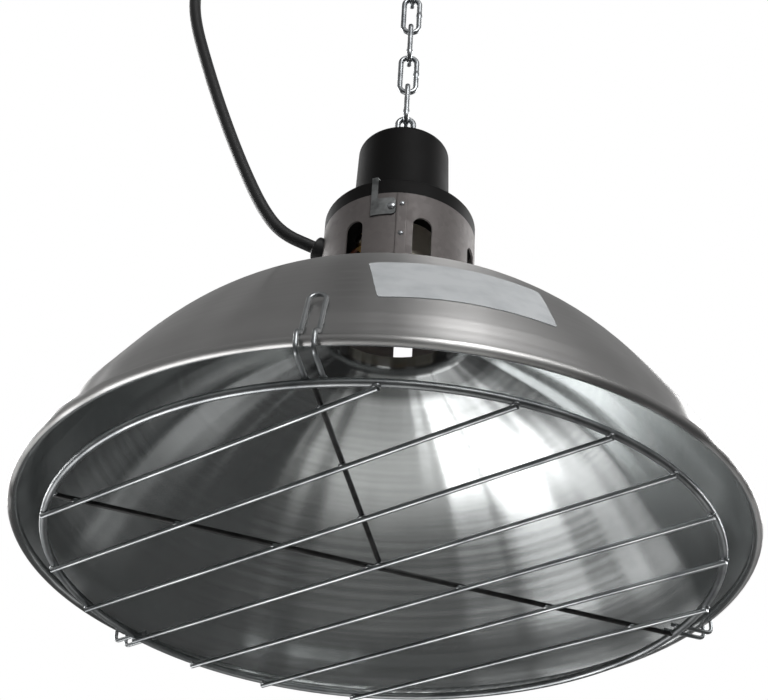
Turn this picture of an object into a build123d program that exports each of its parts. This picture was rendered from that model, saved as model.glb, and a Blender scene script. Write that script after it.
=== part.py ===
from build123d import *

import os
from math import cos, pi, radians, sin, sqrt, tan

# Hanging brooder heat lamp: a spun aluminium reflector under a vented neck, a black thermoset
# cap over a ceramic lampholder, a welded wire guard on three spring clips, a welded-link chain
# with an S hook, and a rubber-sheathed mains lead whose spare length is coiled on the chain.
#
# Millimetres and degrees. The lamp is drawn with its axis on Z and its rim plane at Z = 0, the
# front towards -Y, and is saved with the S hook's bearing point at the origin. Turns about the
# axis count from the front, positive towards +X.

# Reflector
RIM_R = 170.4            # over the rolled bead
BEAD_R = 2.4             # of the bead's section
SHEET = 1.0              # aluminium thickness
DOME_H = 122.0           # rim plane to shoulder
LIP_H = 12.0             # rim plane to where the wall starts to flare
LIP_W = 6.0              # from the wall there to the bead's middle
WALL_DRAFT = 17.0        # lean of the wall there
SHOULDER_SLOPE = 22.0    # rise of the sheet where it turns into the collar
SHOULDER_R = 5.0         # of that turn
COLLAR_H = 6.0           # straight part of the collar, inside the neck
DOME_OUTLINE = [(0.635, 0.84), (0.31, 0.55), (0.095, 0.21)]  # shares inwards and upwards

# Neck sleeve
NECK_R = 39.6            # outside
NECK_WALL = 1.0
NECK_H = 53.5
NECK_SEAT = 0.5          # lower edge above the shoulder's turn
VENTS = 6
VENT_W = 10.0
VENT_H = 33.0            # to the top of the arch
VENT_SILL = 6.0          # band under a vent
VENT_TURN = -35.5        # first vent
VENT_PITCH = 52.0        # turn from vent to vent, which leaves room for the lead's hole
SLIP = 0.1               # radial clearance of one round piece in another

# Flange and cap
FLANGE_T = 9.5
FLANGE_ROUND = 1.6
SPIGOT_H = 2.5           # reach into the neck
CAP_FOOT_R = 26.6
CAP_FOOT_H = 2.6
CAP_BASE_R = 25.6
CAP_TOP_R = 24.4
CAP_H = 51.6
CAP_ROUND = 4.0
CAP_WALL = 2.6

# Straps that hold the flange to the neck
STRAPS = 3
STRAP_W = 3.4
STRAP_T = 0.8
STRAP_TURN = -19.9       # first strap
STRAP_DROP = 14.3        # below the flange
STRAP_REACH = 7.0        # over the flange
STRAP_FOOT_W = 9.3       # riveted foot past the strip
STRAP_FOOT_H = 10.5
STRAP_ROUND = 2.0        # corners of the foot

# Eye bolt
EYE_R = 4.3              # of the eye's bends, to the middle of its wire
EYE_WIRE_R = 1.6
EYE_STRAIGHT = 6.0       # sides of the eye between its bends
SHANK_R = 3.0
SHANK_FREE = 11.4        # from the cap to the middle of the eye's wire
NUT_AF = 10.0
NUT_H = 5.0
THREAD_END = 1.5         # shank past the lower nut

# Lampholder for a screw-cap bulb
HOLDER_WALL = 5.9        # round the shell's bore
HOLDER_H = 33.0
SKIRT_STEP = 1.5         # skirt past the holder
SKIRT_H = 12.0
SOCKET_R = 13.3          # inside the screw shell
SHELL_T = 0.8
SHELL_H = 18.5
SHELL_INSET = 2.0        # from the mouth to the shell
NUT_ROOM = 0.6           # round the lower nut
CONTACT_R = 4.2
CONTACT_H = 2.4
TERMINAL_W = 7.0         # round the holder
TERMINAL_OUT = 8.0       # outwards
TERMINAL_H = 8.0
TERMINAL_LIFT = 13.0     # from the mouth to the lower face
TERMINAL_ROUND = 1.0
TERMINAL_TURNS = {"terminal_live": -45.0, "terminal_neutral": -135.0}

# Mains lead
CORD_D = 6.8
GLAND_TILT = 25.0        # the lead leaves the neck rising
GLAND_DROP = 9.5         # below the flange
GROMMET_WALL = 1.6       # round the lead, in the neck's hole
GROMMET_LIP = 1.5        # past the neck's hole
GROMMET_OUT = 5.0        # each way from the wall, along the lead
GROMMET_ROUND = 1.2
GRIP = 0.05              # round the lead in its grommet
TAIL_OUT = 6.0           # from the wall to the free stretch
TAIL_CLEAR = 9.6         # from the stripped end across to the holder
CORE_D = 2.2             # insulated core
CORE_PITCH = 3.3         # between the two cores where they leave the sheath
CORE_OUT = 5.0           # straight ends of a core
CORD_START = 19.0        # first run, straight out of the grommet
CORD_END = 28.0          # last run, straight into the coil
CORD_ROUTE = [           # corners of the free stretch from the middle of the neck's hole
    (-34.1, 0.0, 25.8),
    (-47.6, 0.4, 54.8),
    (-62.3, 1.2, 92.0),
    (-76.0, 2.6, 131.7),
    (-88.3, 4.6, 171.9),
    (-91.1, 6.6, 199.9),
    (-87.2, 8.6, 228.9),
]

# Coil of spare lead and its ties
COIL_RISE = 269.9        # middle of the coil above the neck's hole
COIL_R = 44.5            # outermost turn where the lead comes in
COIL_GAP = 0.6           # turn to turn and layer to layer
COIL_TURN = 25.0         # lean of the lead where it comes in
COIL_HALF_TURNS = 14
LAYER_HALF_TURNS = 4     # before the coil climbs a layer
CHAIN_GAP = 1.0          # coil to chain
GAP_SAMPLES = 60         # points on a half turn for the gap test
TIES = 2
TIE_PITCH = 26.0
TIE_W = 4.8
TIE_T = 1.3
TIE_ROOM = 0.3           # inside a tie
TIE_HEAD_T = 5.0
TIE_HEAD_W = 7.0
TIE_HEAD_H = 6.0

# Plug
PLUG_TURN_R = 27.4       # of the lead from the coil over to the plug
PLUG_TURN = 40.0         # side of the coil that it turns to
PLUG_R = 18.5
PLUG_GRIP_H = 20.0
PLUG_H = 42.0
PLUG_NECK_R = 8.0
PLUG_ROUND = 1.5
PLUG_FLAT = 16.5         # from the axis to each side flat
RELIEF_H = 26.0
RELIEF_R = 6.5
RELIEF_END_WALL = 1.0    # round the lead
PIN_R = 2.4
PIN_H = 19.0
PIN_PITCH = 19.0
PIN_ROUND = 1.2

# Chain and S hook
LINK_WIRE_R = 1.5
LINK_PITCH = 24.0
LINK_SLOT = 6.0          # inside width
LINK_PLAY = 0.3          # between pieces that hang on each other
LINKS = 11
HOOK_WIRE_R = 2.0
HOOK_LOW_R = 8.0         # lower bend, to the middle of the wire
HOOK_TOP_R = 11.0        # upper bend
HOOK_RISE = 30.0         # between the middles of the two bends
HOOK_TIP = 20.0          # each bend past its half circle

# Guard
GUARD_INSET = 15.2       # middle of the ring's wire inside the bead's middle
GUARD_DROP = 9.0         # below the rim plane
RING_WIRE_R = 1.8
BAR_R = 1.2
BARS = 7
BAR_PITCH = 38.9
BAR_SHIFT = -5.6         # middle bar beside the ring's middle
BAR_TURN = -39.0         # direction of the bars from +X towards +Y
BAR_OVERHANG = 1.0       # past the middle of the ring's wire
WELD = 0.25              # depth that two welded wires share
BRACE_TURN = 20.5        # direction of the brace from +X towards +Y
SPOKE_TURN = -101.0
CLIP_TURNS = [BRACE_TURN, 140.5, SPOKE_TURN]
CLIP_WIRE_R = 1.0
CLIP_W = 7.0             # between the legs
CLIP_TAIL = 3.3          # legs past the middle of the ring's wire
CLIP_CLEAR = 0.3         # to the bead
CLIP_WRAP = 60.0         # turn round the bead
CLIP_HOOK = 6.7          # from the wrap to the foot of the thumb loop
CLIP_RISE = 26.0         # thumb loop above the rim plane
CLIP_LEAN = 9.5          # thumb loop inside the bead's middle
CLIP_BEND = 3.0

# Worked out from the sizes above
BEAD_MID = RIM_R - BEAD_R
SPIGOT_R = NECK_R - NECK_WALL - SLIP
SHOULDER_TURN = 90 - SHOULDER_SLOPE
COLLAR_FOOT = DOME_H + SHOULDER_R * sin(radians(SHOULDER_TURN))
NECK_BASE = COLLAR_FOOT + NECK_SEAT
NECK_TOP = NECK_BASE + NECK_H
FLANGE_TOP = NECK_TOP + FLANGE_T
CAP_TOP = FLANGE_TOP + CAP_H
EYE_Z = CAP_TOP + SHANK_FREE + EYE_R + EYE_STRAIGHT
SHANK_FOOT = NECK_TOP - NUT_H - THREAD_END
HOLDER_MOUTH = NECK_TOP - HOLDER_H
SHELL_FOOT = HOLDER_MOUTH + SHELL_INSET
BORE_R = SOCKET_R + SHELL_T
HOLDER_R = BORE_R + HOLDER_WALL
SKIRT_R = HOLDER_R + SKIRT_STEP
BORE_END = SHELL_FOOT + SHELL_H + CONTACT_H
GLAND_Z = NECK_TOP - GLAND_DROP
GLAND_R = NECK_R - NECK_WALL / 2
TAIL_IN = NECK_R - NECK_WALL - HOLDER_R - TAIL_CLEAR
CORD_R = CORD_D / 2
GROMMET_CORE_R = CORD_R + GROMMET_WALL
GROMMET_R = GROMMET_CORE_R + GROMMET_LIP
RELIEF_END_R = CORD_R + RELIEF_END_WALL
COIL_STEP = CORD_D + COIL_GAP
LINK_W = LINK_SLOT + 4 * LINK_WIRE_R
CHAIN_FOOT = EYE_Z + EYE_R - EYE_WIRE_R - LINK_PLAY - LINK_WIRE_R
HOOK_LOAD = CHAIN_FOOT + LINKS * LINK_PITCH + LINK_WIRE_R - HOOK_WIRE_R
HOOK_LOW_Z = HOOK_LOAD + HOOK_LOW_R
HOOK_TOP_Z = HOOK_LOW_Z + HOOK_RISE
HANG_Z = HOOK_TOP_Z + HOOK_TOP_R - HOOK_WIRE_R
COIL_X = -LINK_W / 2 - CHAIN_GAP - COIL_R - COIL_STEP / 2 - CORD_R
COIL_LAYERS = COIL_HALF_TURNS // LAYER_HALF_TURNS + 1
GUARD_R = BEAD_MID - GUARD_INSET
BAR_Z = -GUARD_DROP - RING_WIRE_R - BAR_R + WELD
BRACE_Z = BAR_Z + 2 * BAR_R - WELD
BRACE_END = GUARD_R - RING_WIRE_R + WELD
WRAP_R = BEAD_R + CLIP_CLEAR + CLIP_WIRE_R

STANDING = (Align.CENTER, Align.CENTER, Align.MIN)


# Helpers

def turned(angle):
    """Turn about the lamp's axis."""
    return Rot(0, 0, angle)


def rod(radius, foot, length):
    """Upright cylinder on the lamp's axis."""
    return Pos(0, 0, foot) * Cylinder(radius, length, align=STANDING)


def cone(foot_radius, top_radius, foot, height):
    """Upright cone on the lamp's axis."""
    return Pos(0, 0, foot) * Cone(foot_radius, top_radius, height, align=STANDING)


def tube(path, radius):
    """Round wire along a path."""
    section = Plane(origin=path @ 0, z_dir=path % 0) * Circle(radius)
    return sweep(section, path=path)


def wire_loop(bend_r, wire_r, straight):
    """Closed loop of wire in the XZ plane: two half turns joined by straight sides."""
    bend = Torus(bend_r, wire_r, major_angle=180, align=None)
    top = Pos(0, 0, straight / 2) * Rot(90, 0, 0) * bend
    loop = top + Rot(0, 180, 0) * top
    for side in (-1, 1):
        loop += Pos(side * bend_r, 0, 0) * Cylinder(wire_r, straight)
    return loop


def corner_radii(points):
    """Largest arc at each corner that leaves its two runs a straight middle."""
    radii = []
    for before, corner, after in zip(points, points[1:], points[2:]):
        half_turn = (corner - before).get_angle(after - corner) / 2
        shorter = min((corner - before).length, (after - corner).length)
        radii.append(0.45 * shorter / tan(radians(half_turn)))
    return radii


def rounded_path(points):
    """Straight runs joined by the largest arcs."""
    return FilletPolyline(*points, radius=corner_radii(points))


# Reflector

def sheet_side(bell_points, inset):
    """One side of the sheet, from the collar's edge to the bead."""
    collar = Line((SPIGOT_R - inset, COLLAR_FOOT + COLLAR_H), (SPIGOT_R - inset, COLLAR_FOOT))
    shoulder = JernArc(collar @ 1, collar % 1, SHOULDER_R + inset, SHOULDER_TURN)
    draft = (sin(radians(WALL_DRAFT)), -cos(radians(WALL_DRAFT)))
    bell = Spline(shoulder @ 1, *bell_points, tangents=[shoulder % 1, draft])
    bead_join = (BEAD_MID - (BEAD_R + inset) / 2, (BEAD_R - inset) / 2)
    return [collar, shoulder, bell, TangentArc(bell @ 1, bead_join, tangent=bell % 1)]


def sheet_inward(curve, point):
    """Point on the inside of the sheet across from a point on its outside."""
    along = curve % curve.param_at_point(point)
    return point + Vector(along.Y, -along.X) * SHEET


def reflector():
    """Spun bell with an upturned collar, a flared lip and a rolled bead."""
    lip = Vector(BEAD_MID - LIP_W, LIP_H)
    rise = Vector(lip.X - SPIGOT_R, lip.Y - DOME_H)
    flanks = [lip - Vector(inward * rise.X, upward * rise.Y) for inward, upward in DOME_OUTLINE]
    outside = sheet_side([*flanks, lip], 0)
    inside = sheet_side([sheet_inward(outside[2], point) for point in (*flanks, lip)], SHEET)
    ends = [Line(outside[0] @ 0, inside[0] @ 0), Line(outside[-1] @ 1, inside[-1] @ 1)]
    bead = Pos(BEAD_MID, 0) * Circle(BEAD_R)
    return revolve(Plane.XZ * (make_face([*outside, *inside, *ends]) + bead), Axis.Z)


# Neck, flange and cap

def gland_frame():
    """Frame of the lead's exit: in the neck's wall on the left, Z outwards along the lead."""
    return Pos(-GLAND_R, 0, GLAND_Z) * Rot(0, GLAND_TILT - 90, 0)


def gland_point(along, across=0):
    """Point on or beside the lead's exit axis, counted outwards from the neck's wall."""
    return (gland_frame() * Pos(0, across, along)).position


def neck_sleeve():
    """Sleeve over the reflector's collar, with arched vents and the lead's hole."""
    sleeve = rod(NECK_R, NECK_BASE, NECK_H) - rod(NECK_R - NECK_WALL, NECK_BASE, NECK_H)
    straight = VENT_H - VENT_W / 2
    arch = Pos(0, NECK_BASE + VENT_SILL + straight) * Circle(VENT_W / 2)
    slot = Pos(0, NECK_BASE + VENT_SILL + straight / 2) * Rectangle(VENT_W, straight)
    vent = extrude(Plane.XZ * (arch + slot), NECK_R + NECK_WALL)
    for index in range(VENTS):
        sleeve -= turned(VENT_TURN + index * VENT_PITCH) * vent
    return sleeve - gland_frame() * Cylinder(GROMMET_CORE_R, 4 * GROMMET_OUT)


def cord_grommet(sleeve):
    """Rubber spool round the lead, grooved by the neck's wall."""
    spool = Cylinder(GROMMET_R, 2 * GROMMET_OUT)
    spool = fillet(spool.edges().filter_by(GeomType.CIRCLE), GROMMET_ROUND)
    spool -= Cylinder(CORD_R + GRIP, 4 * GROMMET_OUT)
    return gland_frame() * spool - sleeve


def cap_flange():
    """Disc on the neck's top edge, with a spigot inside the neck and the eye bolt's hole."""
    disc = rod(NECK_R, NECK_TOP, FLANGE_T)
    disc = fillet(disc.edges().group_by(Axis.Z)[-1], FLANGE_ROUND)
    spigot_foot = NECK_TOP - SPIGOT_H
    spigot = rod(SPIGOT_R, spigot_foot, SPIGOT_H) - rod(HOLDER_R + SLIP, spigot_foot, SPIGOT_H)
    return disc + spigot - rod(SHANK_R, NECK_TOP, FLANGE_T)


def lamp_cap():
    """Hollow tapered cap with a rounded crown, a foot and the eye bolt's hole."""
    outside = cone(CAP_BASE_R, CAP_TOP_R, FLANGE_TOP, CAP_H)
    outside = fillet(outside.edges().group_by(Axis.Z)[-1], CAP_ROUND)
    outside += rod(CAP_FOOT_R, FLANGE_TOP, CAP_FOOT_H)
    inside = cone(CAP_BASE_R - CAP_WALL, CAP_TOP_R - CAP_WALL, FLANGE_TOP, CAP_H - CAP_WALL)
    inside = fillet(inside.edges().group_by(Axis.Z)[-1], CAP_ROUND - CAP_WALL)
    return outside - inside - rod(SHANK_R, FLANGE_TOP, CAP_H)


def flange_strap(index):
    """Bent strip that hooks over the flange and ends in a riveted foot on the neck's side."""
    low = NECK_TOP - STRAP_DROP
    high = FLANGE_TOP + STRAP_T
    outer_r = NECK_R + STRAP_T
    leg = rod(outer_r, low, high - low) - rod(NECK_R, low, high - low)
    hook = rod(outer_r, FLANGE_TOP, STRAP_T) - rod(NECK_R - STRAP_REACH, FLANGE_TOP, STRAP_T)
    strip = Pos(0, -NECK_R, low) * Box(STRAP_W, NECK_R, high - low, align=STANDING)
    foot = Box(STRAP_W + STRAP_FOOT_W, NECK_R, STRAP_FOOT_H, align=(Align.MIN, Align.CENTER, Align.MIN))
    foot = fillet(foot.edges().filter_by(Axis.Y).group_by(Axis.X)[-1], STRAP_ROUND)
    outline = strip + Pos(-STRAP_W / 2, -NECK_R, low) * foot
    return turned(STRAP_TURN + index * 360 / STRAPS) * ((leg + hook) & outline)


# Eye bolt

def eye_bolt():
    """Closed long eye in the XZ plane on a shank that clamps cap and flange."""
    eye = Pos(0, 0, EYE_Z - EYE_STRAIGHT / 2) * wire_loop(EYE_R, EYE_WIRE_R, EYE_STRAIGHT)
    return eye + rod(SHANK_R, SHANK_FOOT, CAP_TOP + SHANK_FREE - SHANK_FOOT)


def bolt_nut(foot):
    """Hexagon nut on the eye bolt."""
    blank = extrude(RegularPolygon(NUT_AF / 2, 6, major_radius=False), NUT_H)
    return Pos(0, 0, foot) * blank - rod(SHANK_R, foot, NUT_H)


# Lampholder

def holder_body():
    """Ceramic holder with a skirt, the shell's bore and a pocket for the lower nut."""
    body = rod(HOLDER_R, HOLDER_MOUTH, HOLDER_H) + rod(SKIRT_R, HOLDER_MOUTH, SKIRT_H)
    body -= rod(BORE_R, HOLDER_MOUTH, BORE_END - HOLDER_MOUTH)
    pocket_foot = SHANK_FOOT - NUT_ROOM
    pocket_r = NUT_AF / 2 / cos(pi / 6) + NUT_ROOM
    return body - rod(pocket_r, pocket_foot, NECK_TOP - pocket_foot)


def screw_shell():
    """Thin metal shell that the bulb screws into."""
    return rod(BORE_R, SHELL_FOOT, SHELL_H) - rod(SOCKET_R, SHELL_FOOT, SHELL_H)


def centre_contact():
    """Button against the closed end of the bore."""
    button = rod(CONTACT_R, BORE_END - CONTACT_H, CONTACT_H)
    return fillet(button.edges().group_by(Axis.Z)[0], CONTACT_H / 2)


def terminal_frame(turn):
    """Frame of a terminal: on the holder's side, X round the holder and Y inwards."""
    return turned(turn) * Pos(0, -HOLDER_R, HOLDER_MOUTH + TERMINAL_LIFT)


def terminal(turn):
    """Clamp block hollowed to the holder's curve."""
    depth = TERMINAL_OUT + TERMINAL_W / 2
    block = Pos(0, TERMINAL_W / 4 - TERMINAL_OUT / 2) * Box(TERMINAL_W, depth, TERMINAL_H, align=STANDING)
    block = fillet(block.edges().group_by(Axis.Y)[0].filter_by(Axis.Z), TERMINAL_ROUND)
    return terminal_frame(turn) * block - rod(HOLDER_R, HOLDER_MOUTH, HOLDER_H)


# Mains lead

def cord_tail():
    """Lead held in the grommet, from its stripped end to the start of its free stretch."""
    length = TAIL_IN + TAIL_OUT
    return gland_frame() * Pos(0, 0, -TAIL_IN) * Cylinder(CORD_R, length, align=STANDING)


def core(turn):
    """Insulated core from the stripped end to the side of a terminal."""
    side = 1 if cos(radians(turn)) > 0 else -1
    beside = TERMINAL_W / 2 * side
    seat = Pos(-beside, -TERMINAL_OUT / 2, TERMINAL_H / 2)
    approach = seat * Pos(-CORE_OUT * side, 0, 0)
    points = [
        gland_point(-TAIL_IN, -side * CORE_PITCH / 2),
        gland_point(-TAIL_IN - CORE_OUT, -side * CORE_PITCH / 2),
        (terminal_frame(turn) * approach).position,
        (terminal_frame(turn) * seat).position,
    ]
    return tube(rounded_path(points), CORE_D / 2)


def coil_point(x, layer, z):
    """Point in the coil: across it, by its layer from the back, and up."""
    frame = Pos(COIL_X, 0, GLAND_Z + COIL_RISE) * Rot(0, COIL_TURN, 0)
    depth = ((COIL_LAYERS - 1) / 2 - layer) * COIL_STEP
    return (frame * Pos(x, depth, z)).position


def coil_crossings():
    """Where the coil crosses its middle line: place across it and layer, half turn by half turn."""
    reach = COIL_R
    radius = COIL_R - COIL_STEP / 4
    growth = -COIL_STEP / 2
    layer = 0
    crossings = [(-reach, layer)]
    for half_turn in range(1, COIL_HALF_TURNS + 1):
        reach = 2 * radius - reach
        if half_turn % LAYER_HALF_TURNS == 0:
            layer += 1
            growth = -growth
        crossings.append((reach if half_turn % 2 else -reach, layer))
        radius += growth
    return crossings


def coil_path():
    """Half turns that spiral in and out and climb where they reverse, then a turn to the plug."""
    crossings = coil_crossings()
    first_x, first_layer = crossings[0]
    runs = [Line(coil_point(first_x, first_layer, -CORD_D), coil_point(first_x, first_layer, 0))]
    rise = 1
    for (x, layer), (next_x, next_layer) in zip(crossings[:-2], crossings[1:-1]):
        top = coil_point((x + next_x) / 2, (layer + next_layer) / 2, 0)
        start = coil_point(x, layer, 0)
        end = coil_point(next_x, next_layer, 0)
        up = coil_point(0, 0, rise) - coil_point(0, 0, 0)
        runs.append(ThreePointArc(start, top + up * ((end - start).length / 2), end))
        rise = -rise
    runs.append(last_turn(*crossings[-2:]))
    ahead = turned(PLUG_TURN) * Pos(0, -PLUG_TURN_R, 0)
    leave = runs[-1] @ 1
    over = leave + ahead.position
    down = over + ahead.position
    runs.append(ThreePointArc(leave, over + Vector(0, 0, PLUG_TURN_R), down))
    runs.append(Line(down, down - Vector(0, 0, CORD_D)))
    return Wire(runs)


def last_turn(start, end):
    """Last half turn of the coil, cut short where it rises upright."""
    middle = (start[0] + end[0]) / 2
    radius = abs(end[0] - start[0]) / 2
    sweep_angle = radians(180 - COIL_TURN)
    turns = [0, -sweep_angle / 2, -sweep_angle]
    layer = start[1]
    return ThreePointArc(*(coil_point(middle + radius * cos(t), layer, radius * sin(t)) for t in turns))


def cord_path():
    """Free stretch: straight out of the grommet, up beside the chain and into the coil."""
    first_x, first_layer = coil_crossings()[0]
    points = [gland_point(TAIL_OUT), gland_point(TAIL_OUT + CORD_START)]
    points += [gland_point(0) + Vector(*corner) for corner in CORD_ROUTE]
    points += [coil_point(first_x, first_layer, -CORD_D - rest) for rest in (CORD_END, 0)]
    print("lead radii", [round(radius) for radius in corner_radii(points)])
    return rounded_path(points)


def least_gap(path):
    """Least clear space between turns of the coil, on points that aren't close along the lead."""
    count = GAP_SAMPLES * COIL_HALF_TURNS
    points = [path @ (index / count) for index in range(count + 1)]
    skip = int(count * 3 * CORD_D / path.length)
    pairs = ((near, far) for index, near in enumerate(points) for far in points[index + skip:])
    return min((far - near).length for near, far in pairs) - CORD_D


def lead(name, path):
    """Lead along a path, with its volume beside its section times its length."""
    solid = tube(path, CORD_R)
    plain = pi * CORD_R**2 * path.length
    print(name, "length", round(path.length), "volume", round(solid.volume), "of", round(plain))
    return solid


def cord_tie(index):
    """Cable tie round the coil's near side and the chain, with its head inside the coil."""
    height = (index - (TIES - 1) / 2) * TIE_PITCH
    furthest = abs(height) + TIE_W / 2
    inner_r = COIL_R - 1.5 * COIL_STEP - CORD_R
    corner_r = CORD_R + TIE_ROOM
    far = COIL_X + sqrt(inner_r**2 - furthest**2) - TIE_ROOM + corner_r
    near = COIL_X + COIL_R - COIL_STEP / 2
    depth = (COIL_LAYERS - 1) / 2 * COIL_STEP
    rounds = [Pos(x, y) * Circle(corner_r) for x in (far, near) for y in (-depth, depth)]
    rounds.append(Circle(LINK_W / 2 + TIE_ROOM))
    inner = make_hull([edge for round_face in rounds for edge in round_face.edges()])
    band = extrude(offset(inner, TIE_T) - inner, TIE_W)
    head = Pos(far - corner_r, 0, TIE_W / 2) * Box(
        TIE_HEAD_T, TIE_HEAD_W, TIE_HEAD_H, align=(Align.MAX, Align.CENTER, Align.CENTER)
    )
    return Pos(0, 0, GLAND_Z + COIL_RISE + height - TIE_W / 2) * (band + head)


# Plug

def plug_frame(coil):
    """Frame of the plug: on its face, Z back towards the lead."""
    return Pos(coil @ 1) * Pos(0, 0, -PLUG_H - RELIEF_H)


def plug_body():
    """Round grip with side flats, drawn in to a neck."""
    grip = rod(PLUG_R, 0, PLUG_GRIP_H)
    grip = fillet(grip.edges().group_by(Axis.Z)[0], PLUG_ROUND)
    body = grip + cone(PLUG_R, PLUG_NECK_R, PLUG_GRIP_H, PLUG_H - PLUG_GRIP_H)
    flat = Box(2 * PLUG_R, PLUG_R, PLUG_H, align=(Align.CENTER, Align.MIN, Align.MIN))
    for turn in (0, 180):
        body -= turned(turn) * Pos(0, PLUG_FLAT, 0) * flat
    return body


def plug_relief():
    """Tapered strain relief between the plug and the lead."""
    return cone(RELIEF_R, RELIEF_END_R, PLUG_H, RELIEF_H)


def plug_pin(side):
    """Round pin with a rounded tip."""
    pin = rod(PIN_R, -PIN_H, PIN_H)
    pin = fillet(pin.edges().group_by(Axis.Z)[0], PIN_ROUND)
    return Pos(side * PIN_PITCH / 2, 0, 0) * pin


# Chain and hook

def chain_link(number):
    """Closed link, counted from the lamp: odd ones lie in YZ and even ones in XZ."""
    bend_r = LINK_SLOT / 2 + LINK_WIRE_R
    straight = LINK_PITCH + LINK_PLAY - LINK_SLOT
    middle = CHAIN_FOOT + (number - 1) * LINK_PITCH + bend_r + straight / 2
    return Pos(0, 0, middle) * turned(90 if number % 2 else 0) * wire_loop(bend_r, LINK_WIRE_R, straight)


def hook_point(bend_z, bend_r, angle):
    """Point on one of the hook's two bends, by its angle from +X."""
    return Vector(bend_r * cos(radians(angle)), 0, bend_z + bend_r * sin(radians(angle)))


def s_hook():
    """S hook in the XZ plane: open upper bend, crossing and lower bend."""
    upper = [hook_point(HOOK_TOP_Z, HOOK_TOP_R, angle) for angle in (-HOOK_TIP, 90, 180)]
    lower = [hook_point(HOOK_LOW_Z, HOOK_LOW_R, angle) for angle in (0, -90, -180 - HOOK_TIP)]
    crossing = (upper[-1] + lower[0]) * 0.5
    fall = TangentArc(upper[-1], crossing, tangent=(0, 0, -1))
    turn_back = TangentArc(crossing, lower[0], tangent=fall % 1)
    return tube(Wire([ThreePointArc(*upper), fall, turn_back, ThreePointArc(*lower)]), HOOK_WIRE_R)


# Guard

def guard_ring():
    """Closed ring under the rim."""
    return Pos(0, 0, -GUARD_DROP) * Torus(GUARD_R, RING_WIRE_R)


def guard_bar(index):
    """Straight bar under the ring, welded at both ends."""
    aside = BAR_SHIFT + (index - (BARS - 1) / 2) * BAR_PITCH
    length = 2 * (sqrt(GUARD_R**2 - aside**2) + BAR_OVERHANG)
    bar = Rot(0, 90, 0) * Cylinder(BAR_R, length)
    return Pos(0, 0, BAR_Z) * Rot(0, 0, BAR_TURN) * Pos(0, aside, 0) * bar


def guard_brace():
    """Brace across the ring, on top of the bars."""
    return Pos(0, 0, BRACE_Z) * Rot(0, 0, BRACE_TURN) * Rot(0, 90, 0) * Cylinder(BAR_R, 2 * BRACE_END)


def guard_spoke():
    """Spoke from the brace's middle to the ring, on top of the bars."""
    start = BAR_R - WELD
    spoke = Pos(start, 0, 0) * Rot(0, 90, 0) * Cylinder(BAR_R, BRACE_END - start, align=STANDING)
    return Pos(0, 0, BRACE_Z) * Rot(0, 0, SPOKE_TURN) * spoke


def guard_clip(turn):
    """Spring-wire clip: two legs from the ring round the bead, joined in a thumb loop."""
    leg_z = -GUARD_DROP + RING_WIRE_R + CLIP_WIRE_R - WELD
    wrap_x = BEAD_MID + WRAP_R
    over = Vector(wrap_x, 0, WRAP_R * tan(radians(CLIP_WRAP / 2)))
    loop_foot = over + Vector(-sin(radians(CLIP_WRAP)), 0, cos(radians(CLIP_WRAP))) * CLIP_HOOK
    loop_top = Vector(BEAD_MID - CLIP_LEAN, 0, CLIP_RISE)
    leg = [Vector(GUARD_R - CLIP_TAIL, 0, leg_z), Vector(wrap_x, 0, leg_z), over, loop_foot, loop_top]
    bends = [CLIP_BEND, WRAP_R, CLIP_BEND]
    aside = Vector(0, CLIP_W / 2, 0)
    first = FilletPolyline(*(point - aside for point in leg), radius=bends)
    last = FilletPolyline(*(point + aside for point in reversed(leg)), radius=bends[::-1])
    crown = loop_top + (loop_top - loop_foot).normalized() * (CLIP_W / 2)
    loop = ThreePointArc(first @ 1, crown, last @ 0)
    path = Wire([*first.edges(), loop, *last.edges()])
    return turned(turn) * tube(path, CLIP_WIRE_R)


def lamp_pieces():
    """Reflector, neck, cap, eye bolt, lampholder and the lead's inner end."""
    sleeve = neck_sleeve()
    pieces = {
        "reflector": reflector(),
        "neck_sleeve": sleeve,
        "cap_flange": cap_flange(),
        "lamp_cap": lamp_cap(),
        "eye_bolt": eye_bolt(),
        "eye_locknut": bolt_nut(CAP_TOP),
        "eye_nut": bolt_nut(NECK_TOP - NUT_H),
        "holder_body": holder_body(),
        "screw_shell": screw_shell(),
        "centre_contact": centre_contact(),
        "cord_grommet": cord_grommet(sleeve),
        "cord_tail": cord_tail(),
    }
    for index in range(STRAPS):
        pieces[f"flange_strap_{index + 1}"] = flange_strap(index)
    for node, turn in TERMINAL_TURNS.items():
        pieces[node] = terminal(turn)
        pieces[node.replace("terminal", "core")] = core(turn)
    return pieces


def lead_pieces():
    """Free lead, coil, ties and plug."""
    coil = coil_path()
    print("coil gap", round(least_gap(coil), 2))
    plug = plug_frame(coil)
    pieces = {
        "mains_cord": lead("free lead", cord_path()),
        "cord_coil": lead("coil", coil),
        "plug_body": plug * plug_body(),
        "plug_relief": plug * plug_relief(),
        "plug_pin_1": plug * plug_pin(-1),
        "plug_pin_2": plug * plug_pin(1),
    }
    for index in range(TIES):
        pieces[f"cord_tie_{index + 1}"] = cord_tie(index)
    return pieces


def hanging_pieces():
    """Chain and S hook."""
    pieces = {f"chain_link_{number}": chain_link(number) for number in range(1, LINKS + 1)}
    pieces["s_hook"] = s_hook()
    return pieces


def guard_pieces():
    """Welded guard and its clips."""
    pieces = {"guard_ring": guard_ring(), "guard_brace": guard_brace(), "guard_spoke": guard_spoke()}
    for index in range(BARS):
        pieces[f"guard_bar_{index + 1}"] = guard_bar(index)
    for index, turn in enumerate(CLIP_TURNS):
        pieces[f"guard_clip_{index + 1}"] = guard_clip(turn)
    return pieces


os.makedirs("parts", exist_ok=True)
for node, shape in {**lamp_pieces(), **lead_pieces(), **hanging_pieces(), **guard_pieces()}.items():
    export_step(Pos(0, 0, -HANG_Z) * shape, f"parts/{node}.step")
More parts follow.
